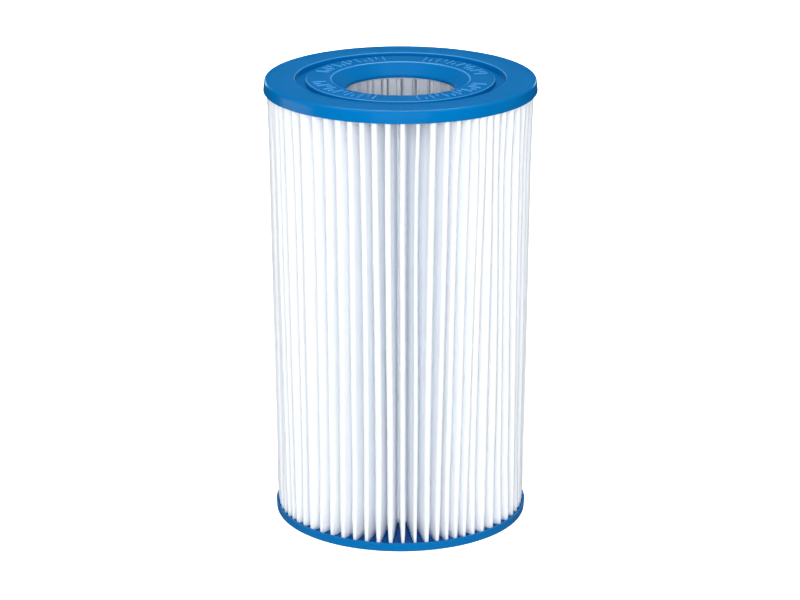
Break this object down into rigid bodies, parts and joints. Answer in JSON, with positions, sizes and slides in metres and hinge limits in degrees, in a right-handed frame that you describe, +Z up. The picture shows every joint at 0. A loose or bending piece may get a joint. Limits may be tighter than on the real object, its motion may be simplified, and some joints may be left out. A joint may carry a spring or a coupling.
{
  "type": "filter cartridge",
  "caption": "Pleated pool filter cartridge: folded white media around a windowed core, held between two cast blue ring end caps.",
  "frame": {"origin": "centre of the bottom face, on the cartridge's axis", "axes": "+Z up the cartridge's axis to the cap with the wider skirt; -Y faces the viewer of the reference view"},
  "size_m": [0.108, 0.108, 0.1805],
  "materials": {
    "cast_polyurethane": "satin cast polyurethane, mid blue",
    "core_plastic": "natural white moulded polypropylene",
    "filter_media": "white spun-bonded polyester, pleated",
    "hot_melt": "cloudy hot-melt glue"
  },
  "bodies": {
    "root": {"top_end_cap": "cast_polyurethane", "bottom_end_cap": "cast_polyurethane", "support_core": "core_plastic", "pleated_media": "filter_media", "media_seam": "hot_melt"}
  },
  "joints": []
}
